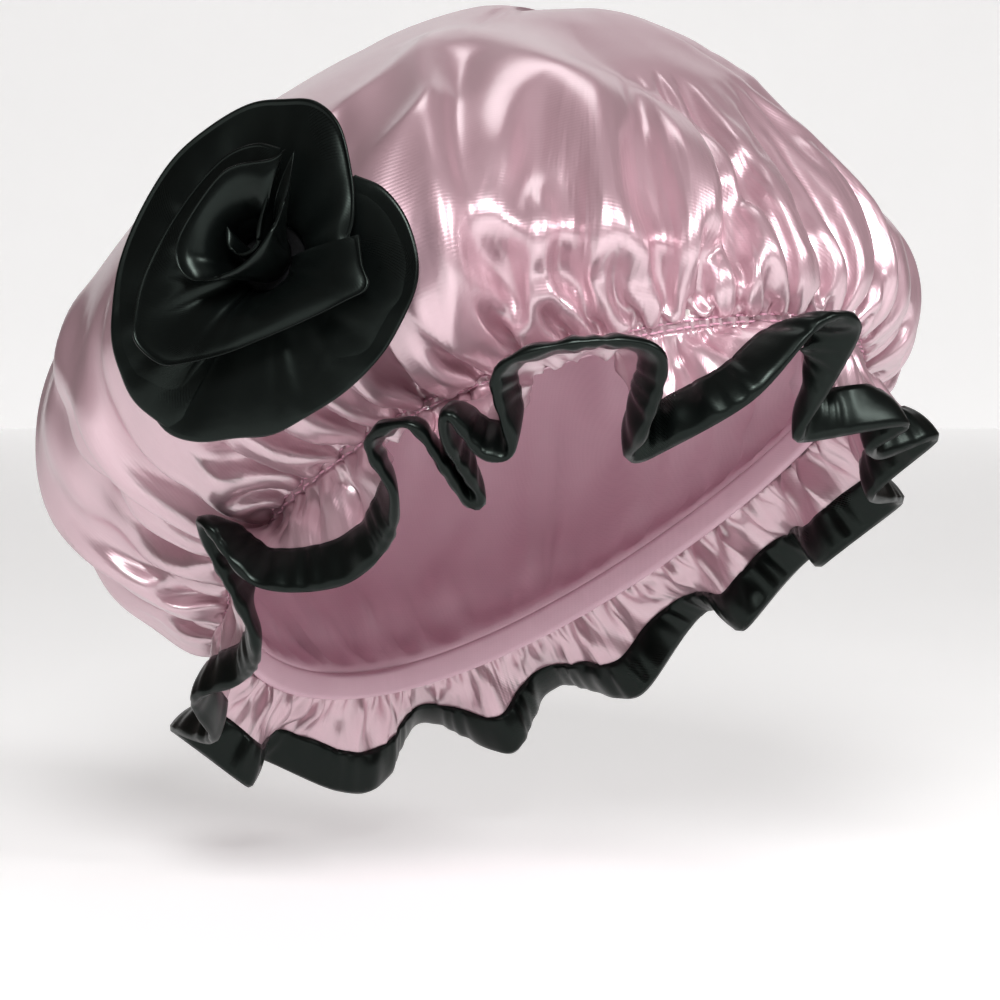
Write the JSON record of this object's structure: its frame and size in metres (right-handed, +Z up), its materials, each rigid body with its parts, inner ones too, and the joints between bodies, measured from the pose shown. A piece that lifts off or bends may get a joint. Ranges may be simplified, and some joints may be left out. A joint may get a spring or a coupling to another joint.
{
  "type": "shower cap",
  "caption": "Bouffant shower cap of gathered pink satin with a lined crown, an elastic mouth, a ruffled frill bound in black satin, and a black satin rose sewn to one side.",
  "frame": {"origin": "middle of the elastic loop, where the head goes in", "axes": "+Z up as worn on an upright head; the wearer faces -Y; the wearer's left is +X and the rose is on the right, at -X"},
  "size_m": [0.247, 0.2685, 0.2296],
  "materials": {
    "pink_satin": "glossy pale pink satin weave with a soft sheen",
    "coated_lining": "smooth pink coated cloth, slightly shiny",
    "elastic": "white braided elastic, matte",
    "pink_thread": "twisted pink sewing thread",
    "black_satin": "black satin with grey-green highlights",
    "black_felt": "matte black felt",
    "black_thread": "wound black sewing thread"
  },
  "bodies": {
    "cap": {"crown_cover": "pink_satin", "crown_lining": "coated_lining", "elastic_casing": "pink_satin", "elastic_band": "elastic", "upper_stitching": "pink_thread", "lower_stitching": "pink_thread", "frill": "pink_satin", "edge_binding": "black_satin"},
    "elastic_end": {"elastic_lap": "elastic"},
    "shank": {"rose_shank": "black_thread"},
    "rosette": {"rose_backing": "black_felt", "rose_bud": "black_satin", "rose_inner_petal": "black_satin", "rose_middle_petal": "black_satin", "rose_left_petal": "black_satin", "rose_right_petal": "black_satin"}
  },
  "joints": [
    {"name": "mouth_stretch", "type": "slide", "parent": "cap", "child": "elastic_end", "axis": [0, 0.8089, -0.5879], "range_m": [0, 0.03], "stiffness_N_per_m": 30, "springref_m": -0.02, "deforming": ["crown_cover", "crown_lining", "elastic_casing", "elastic_band", "upper_stitching", "lower_stitching", "frill", "edge_binding"]},
    {"name": "rosette_turn", "type": "hinge", "parent": "cap", "child": "shank", "pos_m": [-0.10943, -0.04104, 0.06015], "axis": [-0.797, -0.593, 0.115], "range_deg": [-12, 12], "stiffness_Nm_per_rad": 0.03},
    {"name": "rosette_tilt", "type": "hinge", "parent": "shank", "child": "rosette", "pos_m": [-0.11262, -0.04341, 0.06061], "axis": [0.596, -0.803, 0], "range_deg": [-6, 6], "stiffness_Nm_per_rad": 0.05}
  ]
}
